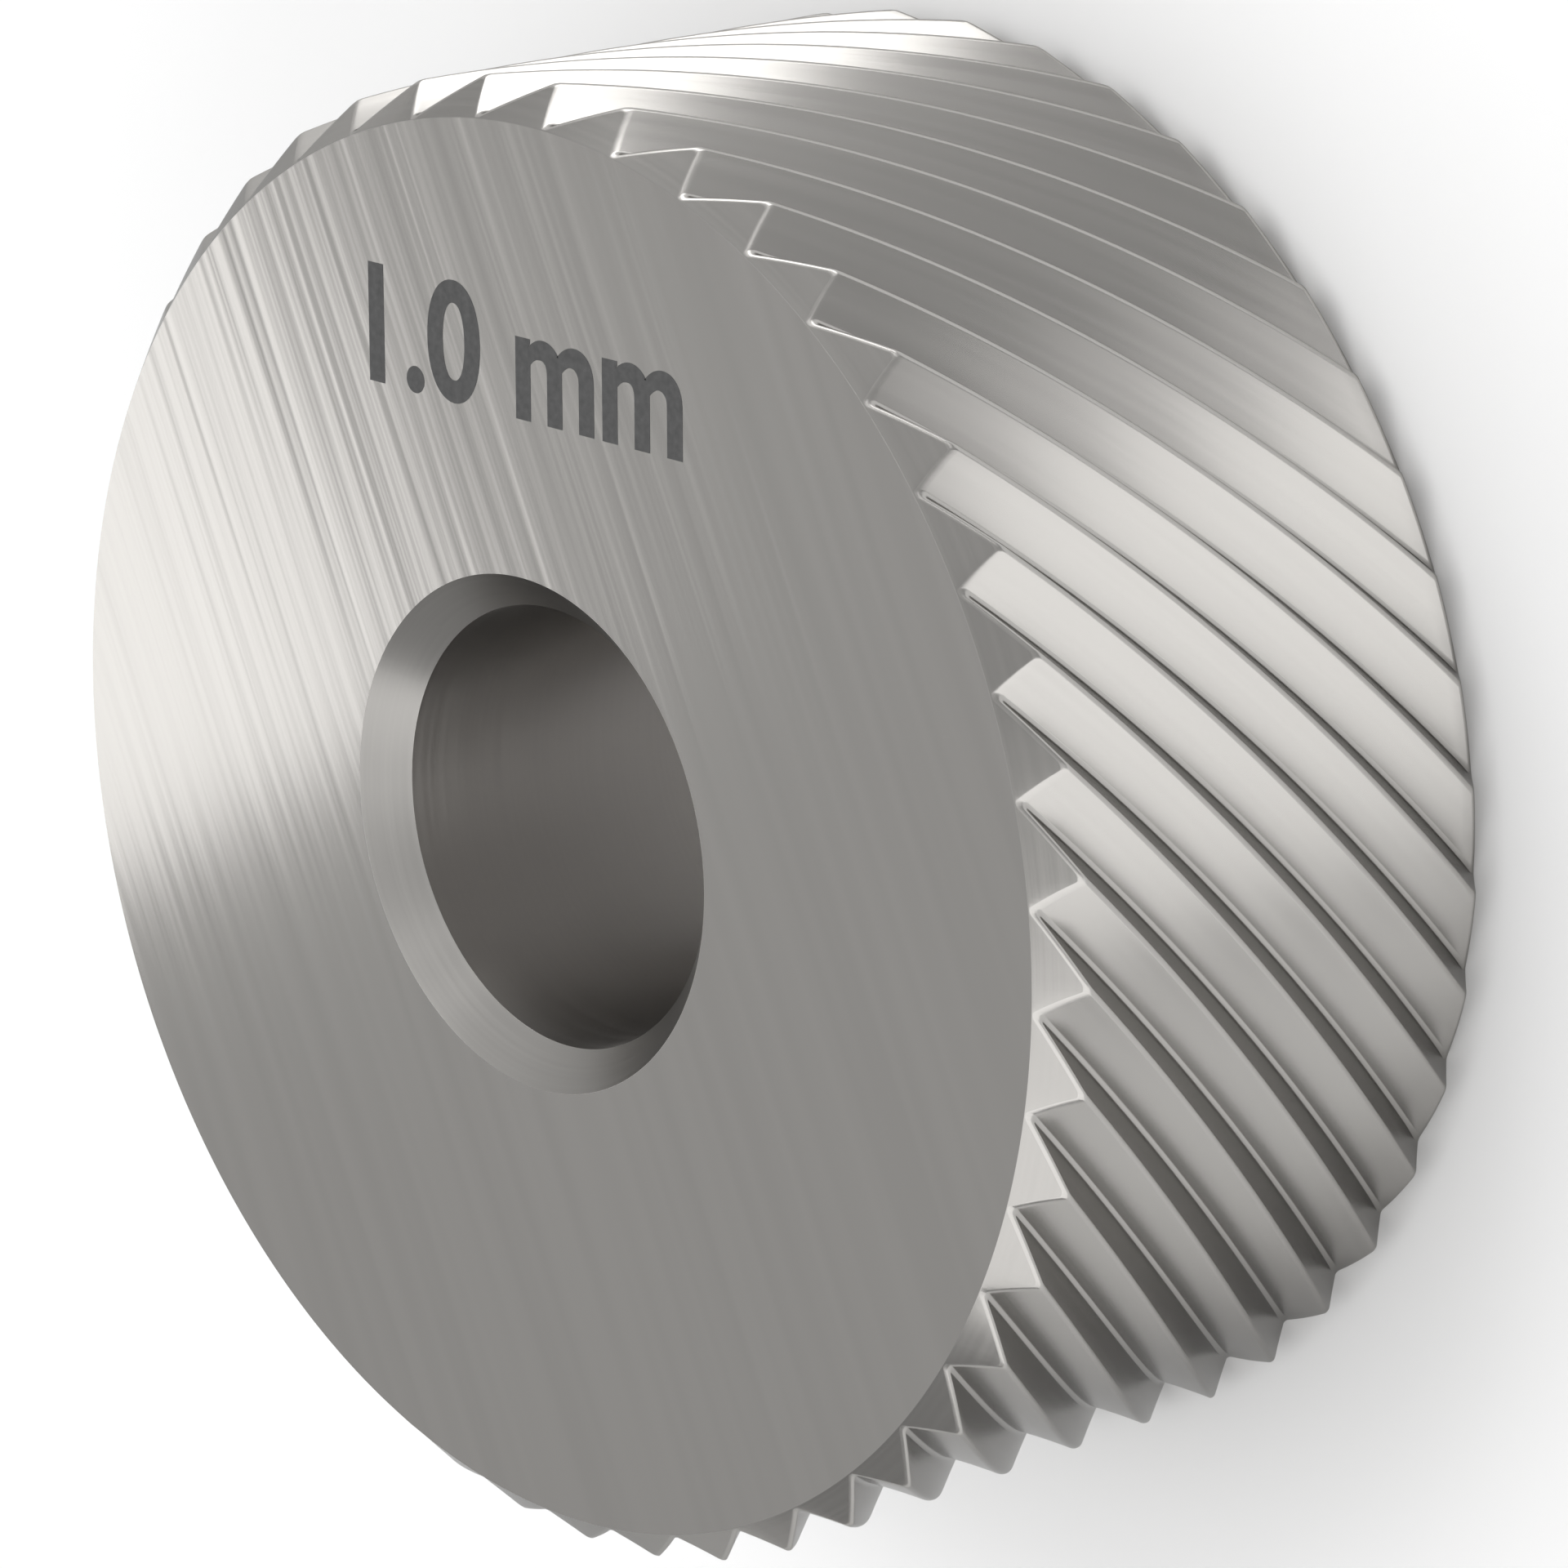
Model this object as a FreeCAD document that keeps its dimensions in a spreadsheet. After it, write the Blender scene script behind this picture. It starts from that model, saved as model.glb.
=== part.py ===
import FreeCAD, Part
import Sketcher
import math
import os

# A knurling wheel: one piece of hardened steel, turned, bored and then cut round its rim
# with helical V teeth, which a lathe tool holder rolls into a workpiece.
# The axis is Z. The wheel lies on its back face at Z = 0, with the front face on top, and
# the origin is where the axis meets the back face.

doc = FreeCAD.newDocument("knurling_wheel_model")

# Driving sizes, in millimetres and degrees. Sizes "along the axis" are read on a section
# through the axis.
driving_sizes = [
    ("wheel_diameter", 20.0, "over the tooth crests"),
    ("wheel_width", 8.0, "from face to face"),
    ("bore_diameter", 6.0, "running fit on the holder's pin"),
    ("bore_chamfer", 0.5, "at 45 degrees, at both mouths of the bore"),
    ("tooth_bevel", 0.5, "at 45 degrees, across the tooth ends at both faces"),
    ("tooth_count", 45, "teeth round the rim"),
    ("tooth_depth", 0.43, "from crest to root, measured towards the axis"),
    ("helix_angle", 45.0, "to the axis, on the root circle, right hand"),
    ("crest_land", 0.08, "flat left on each crest, along the axis"),
    ("root_land", 0.08, "flat at the bottom of each groove, along the axis"),
    ("back_flank_share", 0.42, "share of a pitch taken by the flank that looks to the back"),
    ("crest_stock", 0.02, "height that the cut profile has outside the finished crests"),
    ("end_stock", 0.1, "length that the cut profile has outside each face"),
]
sizes = doc.addObject("Spreadsheet::Sheet", "Sizes")
for row, (alias, value, meaning) in enumerate(driving_sizes, start=1):
    sizes.set(f"A{row}", alias)
    sizes.set(f"B{row}", str(value))
    sizes.set(f"C{row}", meaning)
    sizes.setAlias(f"B{row}", alias)
doc.recompute()


def size(alias):
    """Return a driving size as the sheet holds it."""
    return float(sizes.get(alias))


# The turned blank: half of its section, revolved. The rim carries the bevels that end the
# teeth, and the bore has a chamfer at each mouth.
blank = doc.addObject("PartDesign::Body", "wheel_blank")
blank.Label = "wheel_blank"
blank.Placement = FreeCAD.Placement()

section = blank.newObject("Sketcher::SketchObject", "BlankSection")
section_plane = next(
    item for item in blank.Origin.OriginFeatures if item.Role == "XZ_Plane")
section.AttachmentSupport = [(section_plane, "")]
section.MapMode = "FlatFace"

# Corners of the half section: a name, and its distance from the axis and height above the
# back face, as expressions of the driving sizes.
bore_mouth = "Sizes.bore_diameter / 2 + Sizes.bore_chamfer"
bore_wall = "Sizes.bore_diameter / 2"
face_edge = "Sizes.wheel_diameter / 2 - Sizes.tooth_bevel"
crest = "Sizes.wheel_diameter / 2"
front = "Sizes.wheel_width"
corners = [
    ("back_mouth", bore_mouth, "0"),
    ("back_face_edge", face_edge, "0"),
    ("back_crest_end", crest, "Sizes.tooth_bevel"),
    ("front_crest_end", crest, "Sizes.wheel_width - Sizes.tooth_bevel"),
    ("front_face_edge", face_edge, front),
    ("front_mouth", bore_mouth, front),
    ("bore_front_end", bore_wall, "Sizes.wheel_width - Sizes.bore_chamfer"),
    ("bore_back_end", bore_wall, "Sizes.bore_chamfer"),
]
start_points = [
    FreeCAD.Vector(float(section.evalExpression(radius)), float(section.evalExpression(height)), 0)
    for _, radius, height in corners
]
for index, start in enumerate(start_points):
    end = start_points[(index + 1) % len(start_points)]
    section.addGeometry(Part.LineSegment(start, end), False)
for index in range(len(corners)):
    following = (index + 1) % len(corners)
    section.addConstraint(Sketcher.Constraint("Coincident", index, 2, following, 1))
for index, (name, radius, height) in enumerate(corners):
    place = start_points[index]
    for kind, direction, value, expression in (
            ("DistanceX", "radius", place.x, radius),
            ("DistanceY", "height", place.y, height)):
        number = section.addConstraint(Sketcher.Constraint(kind, -1, 1, index, 1, value))
        section.renameConstraint(number, f"{name}_{direction}")
        section.setExpression(f"Constraints.{name}_{direction}", expression)

turned = blank.newObject("PartDesign::Revolution", "TurnedBlank")
turned.Profile = section
turned.ReferenceAxis = (section, ["V_Axis"])
turned.Angle = 360
section.Visibility = False
blank.Tip = turned
doc.recompute()

# The cut profile: the toothed outline of the rim, drawn below the back face and carried up a
# helix past the front face. A tooth turns by its height times the helix rate, so a length
# along the axis is that many radians round it.
outer_radius = size("wheel_diameter") / 2
root_radius = outer_radius - size("tooth_depth")
helix_rate = math.tan(math.radians(size("helix_angle"))) / root_radius
tooth_pitch = 2 * math.pi / size("tooth_count")

# One tooth space, as angles from the middle of its root: the back flank rises on the side
# of smaller angles, and the front flank on the other. Both flanks run on past the crests.
half_root = size("root_land") / 2 * helix_rate
half_crest = size("crest_land") / 2 * helix_rate
back_crest = size("back_flank_share") * tooth_pitch - half_crest
front_crest = (1 - size("back_flank_share")) * tooth_pitch - half_crest
run_on = 1 + size("crest_stock") / size("tooth_depth")
stock_radius = outer_radius + size("crest_stock")
tooth_space = [
    (stock_radius, -half_root - (back_crest - half_root) * run_on),
    (root_radius, -half_root),
    (root_radius, half_root),
    (stock_radius, half_root + (front_crest - half_root) * run_on),
]
outline_height = -size("end_stock")
outline_turn = outline_height * helix_rate
outline_points = []
for tooth in range(round(size("tooth_count"))):
    for radius, angle in tooth_space:
        place = angle + tooth * tooth_pitch + outline_turn
        outline_points.append(FreeCAD.Vector(
            radius * math.cos(place), radius * math.sin(place), outline_height))
rim_outline = doc.addObject("Part::Feature", "rim_outline")
rim_outline.Label = "rim_outline"
rim_outline.Shape = Part.makePolygon(outline_points + outline_points[:1])

root_helix = doc.addObject("Part::Helix", "root_helix")
root_helix.Label = "root_helix"
root_helix.setExpression("Radius", "Sizes.wheel_diameter / 2 - Sizes.tooth_depth")
root_helix.setExpression(
    "Pitch",
    "2 * pi * (Sizes.wheel_diameter / 2 - Sizes.tooth_depth) / tan(Sizes.helix_angle * 1deg)")
root_helix.setExpression("Height", "Sizes.wheel_width + 2 * Sizes.end_stock")
root_helix.setExpression("Placement.Base.z", "-Sizes.end_stock")

toothed_prism = doc.addObject("Part::Sweep", "toothed_prism")
toothed_prism.Label = "toothed_prism"
toothed_prism.Sections = [rim_outline]
toothed_prism.Spine = (root_helix, ["Edge1"])
toothed_prism.Solid = True
toothed_prism.Frenet = True

# The finished wheel is what the blank and the cut profile share.
wheel = doc.addObject("Part::Common", "knurling_wheel")
wheel.Label = "knurling_wheel"
wheel.Base = blank
wheel.Tool = toothed_prism
wheel.Refine = False
wheel.Placement = FreeCAD.Placement()
doc.recompute()

# Nothing is written unless every feature is sound, the wheel is one valid solid, and the
# teeth took away about as much as their spaces hold.
for item in doc.Objects:
    if "Invalid" in item.State or "Error" in item.State:
        raise RuntimeError(f"{item.Label} failed: {item.State}")
if wheel.Shape.isNull() or not wheel.Shape.isValid() or len(wheel.Shape.Solids) != 1:
    raise RuntimeError("the wheel is not one valid solid")
cut_volume = blank.Shape.Volume - wheel.Shape.Volume
if cut_volume <= 0:
    raise RuntimeError("the teeth cut nothing")
print(f"wheel {wheel.Shape.Volume:.2f} mm3, teeth cut {cut_volume:.2f} mm3,"
      f" {len(wheel.Shape.Faces)} faces")

os.makedirs("parts", exist_ok=True)
wheel.Shape.exportStep("parts/knurling_wheel.step")
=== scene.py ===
import math

import bpy
from mathutils import Matrix, Vector


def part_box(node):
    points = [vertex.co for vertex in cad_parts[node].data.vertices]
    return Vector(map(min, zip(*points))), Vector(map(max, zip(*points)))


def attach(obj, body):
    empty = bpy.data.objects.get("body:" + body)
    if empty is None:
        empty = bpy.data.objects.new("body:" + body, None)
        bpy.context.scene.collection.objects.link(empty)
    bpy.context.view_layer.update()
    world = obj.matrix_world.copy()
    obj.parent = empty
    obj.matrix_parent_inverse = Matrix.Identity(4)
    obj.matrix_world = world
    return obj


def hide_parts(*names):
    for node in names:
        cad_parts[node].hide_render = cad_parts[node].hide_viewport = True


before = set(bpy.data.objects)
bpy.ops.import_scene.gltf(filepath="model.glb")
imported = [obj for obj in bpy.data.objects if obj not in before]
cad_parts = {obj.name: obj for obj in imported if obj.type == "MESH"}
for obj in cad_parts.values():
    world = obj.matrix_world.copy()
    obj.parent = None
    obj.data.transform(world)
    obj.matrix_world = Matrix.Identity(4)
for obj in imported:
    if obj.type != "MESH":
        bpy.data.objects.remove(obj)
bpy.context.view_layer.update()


# The knurling wheel is one piece of hardened steel. It is turned and bored, its two faces are
# ground flat in straight lines, and V teeth are ground round the rim on a right-hand helix.
millimetre = 0.001
wheel_low, wheel_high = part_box("knurling_wheel")
wheel_width = wheel_high.z - wheel_low.z
crest_radius = (wheel_high.x - wheel_low.x) / 2
bore_radius = 3.0 * millimetre
bore_chamfer = 0.5 * millimetre
tooth_bevel = 0.5 * millimetre
tooth_count = 45
tooth_depth = 0.43 * millimetre
helix_angle = math.radians(45)
crest_land = 0.08 * millimetre
root_land = 0.08 * millimetre
back_flank_share = 0.42
crest_round = 0.03 * millimetre
root_round = 0.03 * millimetre
tooth_end_round = 0.085 * millimetre
face_edge_round = 0.001 * millimetre
mouth_round = 0.002 * millimetre
grain_angle = math.radians(5.5)

root_radius = crest_radius - tooth_depth
face_radius = crest_radius - tooth_bevel
mouth_radius = bore_radius + bore_chamfer
tooth_pitch = 2 * math.pi / tooth_count
helix_rate = math.tan(helix_angle) / root_radius
half_root = root_land / 2 * helix_rate
half_crest = crest_land / 2 * helix_rate

# The grid of the skin: the points of a small round, the columns across a flank, the rows up
# a tooth, and the narrow ring, as a share of a face, that its grid keeps along both edges.
round_steps = (0, 1 / 3, 2 / 3, 1)
flank_columns = 5
flank_rows = 28
face_ring = 0.03


def wheel_point(radius, angle, height):
    """A point by its distance from the axis, its angle round it and its height."""
    return Vector((radius * math.cos(angle), radius * math.sin(angle), height))


def rounded_corner(before, corner, after, reach):
    """The points of a small round that takes the place of a sharp corner."""
    start = corner + (before - corner).normalized() * reach
    end = corner + (after - corner).normalized() * reach
    return [start.lerp(corner, t).lerp(corner.lerp(end, t), t) for t in round_steps]


# One tooth space across the axis, from crest to crest.
back_crest = half_crest - back_flank_share * tooth_pitch
front_crest = (1 - back_flank_share) * tooth_pitch - half_crest
space_corners = [
    wheel_point(crest_radius, front_crest - tooth_pitch, 0),
    wheel_point(crest_radius, back_crest, 0),
    wheel_point(root_radius, -half_root, 0),
    wheel_point(root_radius, half_root, 0),
    wheel_point(crest_radius, front_crest, 0),
    wheel_point(crest_radius, back_crest + tooth_pitch, 0),
]
corner_rounds = [crest_round, root_round, root_round, crest_round]
flank_ends = (2, 4)
space_outline = []
for index, reach in enumerate(corner_rounds, start=1):
    before, corner, after = space_corners[index - 1:index + 2]
    corner_points = rounded_corner(before, corner, after, reach)
    if index in flank_ends:
        flank_start = space_outline[-1]
        for step in range(1, flank_columns):
            space_outline.append(flank_start.lerp(corner_points[0], step / flank_columns))
    space_outline += corner_points
columns = []
for tooth in range(tooth_count):
    for place in space_outline:
        columns.append((place.length, math.atan2(place.y, place.x) + tooth * tooth_pitch))


# Each column of the rim goes up its tooth, over the front face, down the bore and back
# under the wheel, so the whole skin is one closed grid.
def wheel_path(radius, angle):
    """Points of one column round the wheel's section, each with the finish that follows it."""
    bevel_height = radius - face_radius
    low, high = bevel_height, wheel_width - bevel_height
    low_turn, high_turn = angle + helix_rate * low, angle + helix_rate * high
    bore_turn = angle + helix_rate * wheel_width / 2
    rim_low, rim_high = wheel_point(radius, low_turn, low), wheel_point(radius, high_turn, high)
    front_edge = wheel_point(face_radius, high_turn, wheel_width)
    back_edge = wheel_point(face_radius, low_turn, 0)
    front_mouth = wheel_point(mouth_radius, bore_turn, wheel_width)
    back_mouth = wheel_point(mouth_radius, bore_turn, 0)
    bore_front = wheel_point(bore_radius, bore_turn, wheel_width - bore_chamfer)
    bore_back = wheel_point(bore_radius, bore_turn, bore_chamfer)
    row_height = (high - low) / flank_rows
    rows = [
        wheel_point(radius, angle + helix_rate * (low + row_height * row), low + row_height * row)
        for row in range(1, flank_rows)
    ]
    path = []

    def add(points, finish):
        path.extend((point, finish) for point in points)

    def add_corner(before, corner, after, reach, finish):
        points = rounded_corner(before, corner, after, reach)
        add(points[:-1], finish)
        return points[-1]

    last = add_corner(back_edge, rim_low, rows[0], tooth_end_round, "tooth")
    add([last] + rows, "tooth")
    last = add_corner(rows[-1], rim_high, front_edge, tooth_end_round, "tooth")
    add([last], "turned")
    last = add_corner(rim_high, front_edge, front_mouth, face_edge_round, "turned")
    add([last, last.lerp(front_mouth, face_ring), last.lerp(front_mouth, 1 - face_ring)], "face")
    last = add_corner(front_edge, front_mouth, bore_front, mouth_round, "chamfer")
    add([last], "chamfer")
    last = add_corner(front_mouth, bore_front, bore_back, mouth_round, "bore")
    add([last], "bore")
    last = add_corner(bore_front, bore_back, back_mouth, mouth_round, "bore")
    add([last], "chamfer")
    last = add_corner(bore_back, back_mouth, back_edge, mouth_round, "chamfer")
    add([last, last.lerp(back_edge, face_ring), last.lerp(back_edge, 1 - face_ring)], "face")
    last = add_corner(back_mouth, back_edge, rim_low, face_edge_round, "turned")
    add([last], "turned")
    return path


paths = [wheel_path(radius, angle) for radius, angle in columns]
column_count, path_count = len(paths), len(paths[0])
wheel_points = [point for path in paths for point, _ in path]
finish_of_step = [finish for _, finish in paths[0]]

finish_names = ["face", "tooth", "turned", "chamfer", "bore"]
wheel_quads, quad_steps = [], []
for column in range(column_count):
    following = (column + 1) % column_count
    for step in range(path_count):
        above = (step + 1) % path_count
        wheel_quads.append((
            column * path_count + step,
            following * path_count + step,
            following * path_count + above,
            column * path_count + above,
        ))
        quad_steps.append((column, step))

wheel_mesh = bpy.data.meshes.new("knurling_wheel_skin")
wheel_mesh.from_pydata(wheel_points, [], wheel_quads)
wheel_mesh.shade_smooth()
for polygon, (column, step) in zip(wheel_mesh.polygons, quad_steps):
    polygon.material_index = finish_names.index(finish_of_step[step])

# The grain map lays U along the lines that the grinding or turning left and V across them,
# in millimetres.
grain_map = wheel_mesh.uv_layers.new(name="grain")
for polygon, (column, step) in zip(wheel_mesh.polygons, quad_steps):
    finish = finish_of_step[step]
    for loop_index in polygon.loop_indices:
        vertex = wheel_mesh.loops[loop_index].vertex_index
        place = wheel_points[vertex]
        vertex_column = vertex // path_count
        wrap = column_count if vertex_column < column else 0
        if finish == "face":
            u = place.x * math.cos(grain_angle) + place.y * math.sin(grain_angle)
            v = place.y * math.cos(grain_angle) - place.x * math.sin(grain_angle)
        elif finish == "tooth":
            u = place.z / math.cos(helix_angle)
            v = (vertex_column + wrap) / column_count * 2 * math.pi * root_radius
        else:
            radius = math.hypot(place.x, place.y)
            u = (vertex_column + wrap) / column_count * 2 * math.pi * radius
            v = place.z if finish == "bore" else radius * math.sqrt(2)
        grain_map.data[loop_index].uv = (u / millimetre, v / millimetre)

# Each point's normal leans on its neighbours by their area, so that flats stay flat up to
# the small rounds.
leaning = [Vector((0, 0, 0)) for _ in wheel_points]
for corners in wheel_quads:
    first, second, third, fourth = (wheel_points[corner] / millimetre for corner in corners)
    area_normal = (third - first).cross(fourth - second)
    for corner in corners:
        leaning[corner] += area_normal
wheel_mesh.normals_split_custom_set_from_vertices([lean.normalized() for lean in leaning])

knurling_wheel = bpy.data.objects.new("knurling_wheel_steel", wheel_mesh)
bpy.context.scene.collection.objects.link(knurling_wheel)


def machined_steel(name, colour, roughness, anisotropy, patch, grain_layers):
    """Bare steel with fine lines along the grain map's U. Each grain layer has the width,
    length and height of its lines, in millimetres. The last one also makes the steel lighter
    and darker by the patch share, and a little duller and brighter."""
    line_low, line_high = 0.3, 0.7
    dullness_change = 0.05
    glancing_tint = (0.5, 0.5, 0.5, 1)
    quarter_turn = 0.25
    material = bpy.data.materials.new(name)
    material.use_nodes = True
    nodes, links = material.node_tree.nodes, material.node_tree.links
    surface = nodes["Principled BSDF"]
    surface.inputs["Metallic"].default_value = 1.0
    surface.inputs["Specular Tint"].default_value = glancing_tint
    surface.inputs["Anisotropic"].default_value = anisotropy
    surface.inputs["Anisotropic Rotation"].default_value = quarter_turn

    grain = nodes.new("ShaderNodeUVMap")
    grain.uv_map = "grain"
    relief_height = None
    for width, length, height in grain_layers:
        stretch = nodes.new("ShaderNodeMapping")
        stretch.inputs["Scale"].default_value = (1 / length, 1 / width, 1)
        links.new(grain.outputs["UV"], stretch.inputs["Vector"])
        lines = nodes.new("ShaderNodeTexNoise")
        lines.noise_dimensions = "2D"
        lines.inputs["Scale"].default_value = 1.0
        lines.inputs["Detail"].default_value = 1.0
        links.new(stretch.outputs["Vector"], lines.inputs["Vector"])
        layer = nodes.new("ShaderNodeMath")
        layer.operation = "MULTIPLY_ADD"
        layer.inputs[1].default_value = height * millimetre
        layer.inputs[2].default_value = 0.0
        links.new(lines.outputs["Fac"], layer.inputs[0])
        if relief_height:
            links.new(relief_height, layer.inputs[2])
        relief_height = layer.outputs["Value"]

    tint = nodes.new("ShaderNodeValToRGB")
    dark, light = tint.color_ramp.elements
    dark.position, light.position = line_low, line_high
    dark.color = [channel * (1 - patch) for channel in colour] + [1]
    light.color = [channel * (1 + patch) for channel in colour] + [1]
    links.new(lines.outputs["Fac"], tint.inputs["Fac"])
    links.new(tint.outputs["Color"], surface.inputs["Base Color"])

    dullness = nodes.new("ShaderNodeMapRange")
    dullness.inputs["From Min"].default_value = line_low
    dullness.inputs["From Max"].default_value = line_high
    dullness.inputs["To Min"].default_value = roughness * (1 - dullness_change)
    dullness.inputs["To Max"].default_value = roughness * (1 + dullness_change)
    links.new(lines.outputs["Fac"], dullness.inputs["Value"])
    links.new(dullness.outputs["Result"], surface.inputs["Roughness"])

    relief = nodes.new("ShaderNodeBump")
    relief.inputs["Distance"].default_value = 1.0
    links.new(relief_height, relief.inputs["Height"])
    links.new(relief.outputs["Normal"], surface.inputs["Normal"])

    direction = nodes.new("ShaderNodeTangent")
    direction.direction_type = "UV_MAP"
    direction.uv_map = "grain"
    links.new(direction.outputs["Tangent"], surface.inputs["Tangent"])
    return material


steel_colour = (0.425, 0.413, 0.396)
wheel_mesh.materials.append(machined_steel(
    "surface_ground_face", steel_colour, roughness=0.11, anisotropy=0.3, patch=0.02,
    grain_layers=[(0.05, 6.0, 0.0001), (0.16, 12.0, 0.0008), (0.42, 18.0, 0.0032)]))
wheel_mesh.materials.append(machined_steel(
    "ground_tooth_flank", steel_colour, roughness=0.25, anisotropy=0.4, patch=0.02,
    grain_layers=[(0.03, 2.0, 0.0002), (0.08, 6.0, 0.0004)]))
# The turned bevels and the chamfer are the same steel, but their base colour is set darker than
# the face and teeth: painted shade, on top of their real turned finish.
wheel_mesh.materials.append(machined_steel(
    "turned_bevel_painted_shade", (0.365, 0.355, 0.34), roughness=0.22, anisotropy=0.3, patch=0.02,
    grain_layers=[(0.03, 4.0, 0.0001), (0.08, 9.0, 0.0002)]))
wheel_mesh.materials.append(machined_steel(
    "turned_chamfer_painted_shade", (0.37, 0.359, 0.344), roughness=0.3, anisotropy=0.2, patch=0.02,
    grain_layers=[(0.06, 9.0, 0.0002)]))
# The bore is the same steel, but its base colour is set lighter than the rest: painted light that
# brightens the shaded hole, on top of its real honed finish.
wheel_mesh.materials.append(machined_steel(
    "honed_bore_painted_light", (0.54, 0.521, 0.501), roughness=0.31, anisotropy=0.85, patch=0.01,
    grain_layers=[(0.06, 5.0, 0.00006)]))

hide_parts("knurling_wheel")
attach(knurling_wheel, "root")


# The tooth pitch is marked on the front face between bore and rim: plain figures, burnt
# into the ground steel with a laser, which leaves them dark, dull and all but flat.
figure_height = 1.55 * millimetre
figure_share_of_type = 0.7
stroke_swell = 0.05 * millimetre
mark_middle = Vector((5.95 * millimetre, -2.2 * millimetre, wheel_width))
mark_turn = math.radians(-111.5)
mark_lift = 0.002 * millimetre

mark_words = bpy.data.curves.new("pitch_mark", "FONT")
mark_words.body = "1.0 mm"
mark_words.size = figure_height / figure_share_of_type
mark_words.offset = stroke_swell
mark_words.align_x = "CENTER"
mark_words.align_y = "CENTER"
pitch_mark = bpy.data.objects.new("pitch_mark", mark_words)
bpy.context.scene.collection.objects.link(pitch_mark)
pitch_mark.location = mark_middle + Vector((0, 0, mark_lift))
pitch_mark.rotation_euler = (0, 0, mark_turn)

speckles_per_metre = 9000
burnt_dark, burnt_light = 0.05, 0.1
burnt_steel = bpy.data.materials.new("laser_burnt_steel")
burnt_steel.use_nodes = True
burnt_surface = burnt_steel.node_tree.nodes["Principled BSDF"]
burnt_surface.inputs["Roughness"].default_value = 0.75
burnt_surface.inputs["Specular IOR Level"].default_value = 0.2
burnt_speckle = burnt_steel.node_tree.nodes.new("ShaderNodeTexNoise")
burnt_speckle.inputs["Scale"].default_value = speckles_per_metre
burnt_place = burnt_steel.node_tree.nodes.new("ShaderNodeTexCoord")
burnt_tint = burnt_steel.node_tree.nodes.new("ShaderNodeValToRGB")
burnt_tint.color_ramp.elements[0].color = (burnt_dark, burnt_dark, burnt_dark, 1)
burnt_tint.color_ramp.elements[1].color = (burnt_light, burnt_light, burnt_light, 1)
burnt_links = burnt_steel.node_tree.links
burnt_links.new(burnt_place.outputs["Object"], burnt_speckle.inputs["Vector"])
burnt_links.new(burnt_speckle.outputs["Fac"], burnt_tint.inputs["Fac"])
burnt_links.new(burnt_tint.outputs["Color"], burnt_surface.inputs["Base Color"])
mark_words.materials.append(burnt_steel)
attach(pitch_mark, "root")


# The studio floor is a wide table top that the wheel lies on. It is a smooth painted board,
# near white and quite matt, so that it keeps the wheel's shadow and shows no shine.
floor_reach = 2.0
floor_white = 0.9
bpy.ops.mesh.primitive_plane_add(size=2 * floor_reach, location=(0, 0, wheel_low.z))
studio_floor = bpy.context.object
studio_floor.name = "studio_floor"
table_top = bpy.data.materials.new("white_table_top")
table_top.use_nodes = True
table_surface = table_top.node_tree.nodes["Principled BSDF"]
table_surface.inputs["Base Color"].default_value = (floor_white, floor_white, floor_white, 1)
table_surface.inputs["Roughness"].default_value = 0.9
table_surface.inputs["Specular IOR Level"].default_value = 0.0
studio_floor.data.materials.append(table_top)


# The studio light comes from soft boxes, lamps with a white cloth front, which stand round
# the wheel half a metre away, and from the pale room above the table.
box_distance = 0.5


def soft_box(name, azimuth, elevation, width, height, radiance, tilt=0):
    """A soft box that faces the wheel. Its place, size and tilt are in degrees as the wheel
    sees them, with azimuth from +Y towards +X."""
    lamp = bpy.data.lights.new(name, "AREA")
    lamp.shape = "RECTANGLE"
    lamp.size = 2 * box_distance * math.tan(math.radians(width / 2))
    lamp.size_y = 2 * box_distance * math.tan(math.radians(height / 2))
    lamp.energy = radiance * lamp.size * lamp.size_y * math.pi
    lamp_object = bpy.data.objects.new(name, lamp)
    bpy.context.scene.collection.objects.link(lamp_object)
    azimuth, elevation = math.radians(azimuth), math.radians(elevation)
    away = Vector((
        math.sin(azimuth) * math.cos(elevation),
        math.cos(azimuth) * math.cos(elevation),
        math.sin(elevation)))
    turn = away.to_track_quat("Z", "Y").to_matrix() @ Matrix.Rotation(math.radians(tilt), 3, "Z")
    lamp_object.matrix_world = Matrix.Translation(away * box_distance) @ turn.to_4x4()
    lamp_object.visible_camera = False


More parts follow.
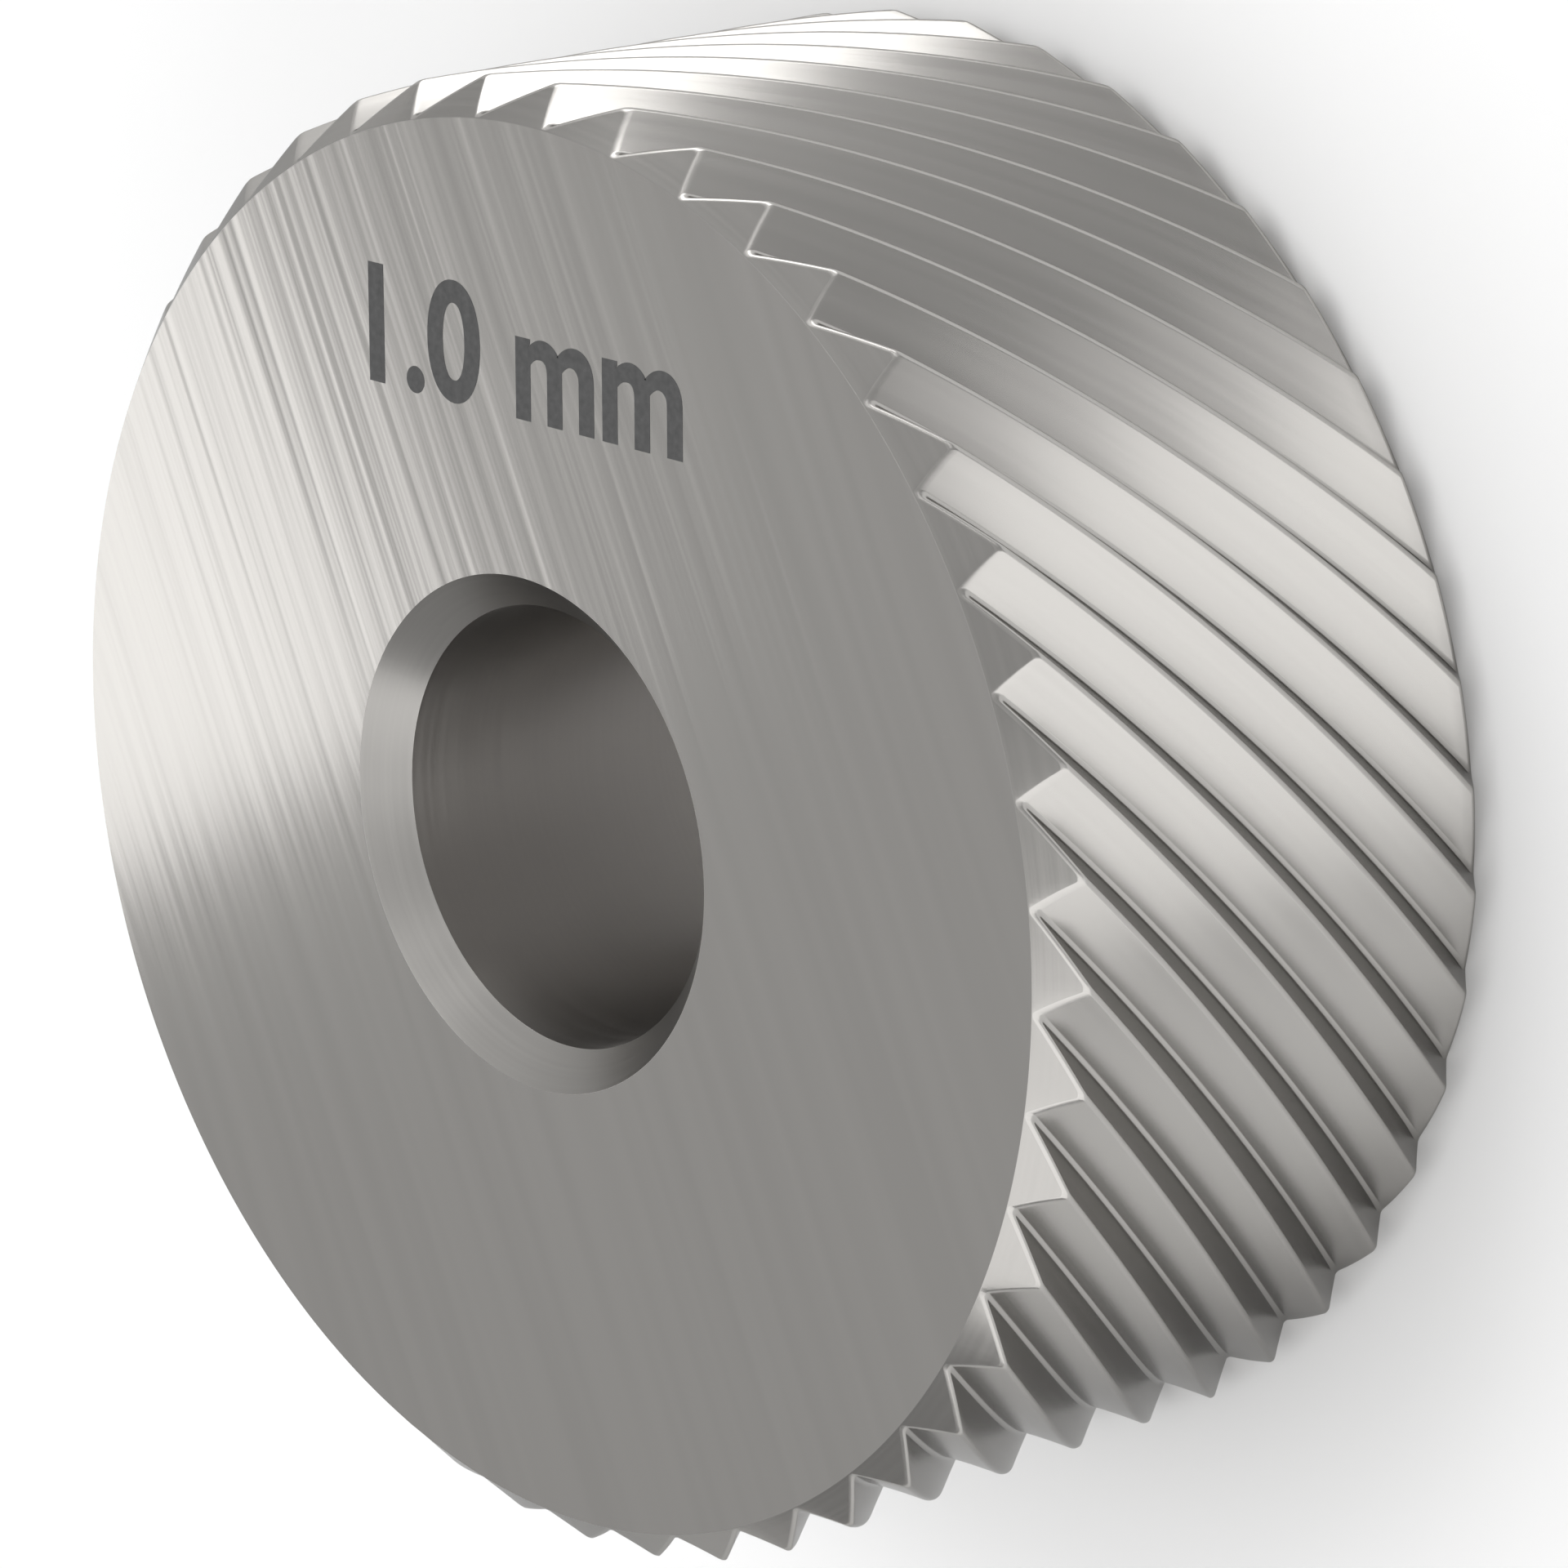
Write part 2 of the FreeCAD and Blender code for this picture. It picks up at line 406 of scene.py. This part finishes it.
soft_box("top_box", 90, 90, 60, 60, 0.95)
soft_box("key_box", 90, 62, 24, 24, 2.4)
soft_box("back_box", 15.3, 22.6, 32, 24, 1.58, tilt=19.7)
soft_box("side_box", 98, 6.5, 48, 13, 3.8)
soft_box("edge_strip", 130, 24, 36, 3, 2.5)
soft_box("front_box", -124.5, 22.5, 65, 45, 1.4)
soft_box("front_wing", -165, 22.5, 18, 45, 0.4)

# The walls and ceiling of the room are lightest on the key box's side and darkest away
# from it.
lightest_side = (0.7, 0.3, 0.65)
darkest_wall, lightest_wall = 0.25, 0.7
room = bpy.data.worlds.new("pale_room")
room.use_nodes = True
room_nodes, room_links = room.node_tree.nodes, room.node_tree.links
room_place = room_nodes.new("ShaderNodeTexCoord")
room_side = room_nodes.new("ShaderNodeVectorMath")
room_side.operation = "DOT_PRODUCT"
room_side.inputs[1].default_value = lightest_side
room_level = room_nodes.new("ShaderNodeMapRange")
room_level.inputs["From Min"].default_value = -1.0
room_level.inputs["From Max"].default_value = 1.0
room_level.inputs["To Min"].default_value = darkest_wall
room_level.inputs["To Max"].default_value = lightest_wall
room_links.new(room_place.outputs["Generated"], room_side.inputs[0])
room_links.new(room_side.outputs["Value"], room_level.inputs["Value"])
room_links.new(room_level.outputs["Result"], room_nodes["Background"].inputs["Color"])
bpy.context.scene.world = room


# The camera looks down on the wheel from the side where the photograph was taken, close to
# it and rolled, so that the axis runs across the picture.
camera_azimuth = math.radians(0.43)
camera_elevation = math.radians(40.2)
camera_roll = math.radians(104.72)
camera_distance = 91.94 * millimetre
camera_aim = Vector((-0.203, -0.253, 3.702)) * millimetre

camera_data = bpy.data.cameras.new("photo_camera")
camera_data.sensor_width = 36.0
camera_data.lens = 155.66
camera_data.clip_start = 0.001
camera = bpy.data.objects.new("photo_camera", camera_data)
bpy.context.scene.collection.objects.link(camera)
camera_turn = (
    Matrix.Rotation(camera_azimuth, 4, "Z")
    @ Matrix.Rotation(math.pi / 2 - camera_elevation, 4, "X")
    @ Matrix.Rotation(-camera_roll, 4, "Z"))
camera_back = camera_turn.to_3x3() @ Vector((0, 0, 1))
camera.matrix_world = Matrix.Translation(camera_aim + camera_back * camera_distance) @ camera_turn
bpy.context.scene.camera = camera

bpy.context.scene.view_settings.view_transform = "Standard"
